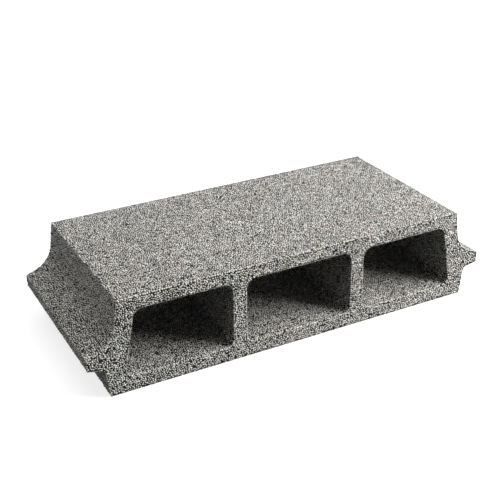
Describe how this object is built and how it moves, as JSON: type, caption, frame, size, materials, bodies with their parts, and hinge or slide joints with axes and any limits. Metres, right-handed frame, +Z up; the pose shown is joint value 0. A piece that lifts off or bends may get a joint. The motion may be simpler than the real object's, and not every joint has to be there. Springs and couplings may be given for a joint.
{
  "type": "hollow concrete floor block",
  "caption": "Hollow concrete infill block for a beam-and-block floor: flat deck, coved sides with bearing nibs, and open cells running through it along the beams.",
  "frame": {"origin": "centre of the soffit, the face that the block stands on", "axes": "+X across the block from nib to nib, +Y along the beams from the front face to the back, +Z up towards the deck"},
  "size_m": [0.53, 0.222, 0.118],
  "materials": {
    "concrete": "open-textured pressed concrete, grey, with fine aggregate grains and pits all over"
  },
  "bodies": {
    "root": {"floor_block": "concrete"}
  },
  "joints": []
}
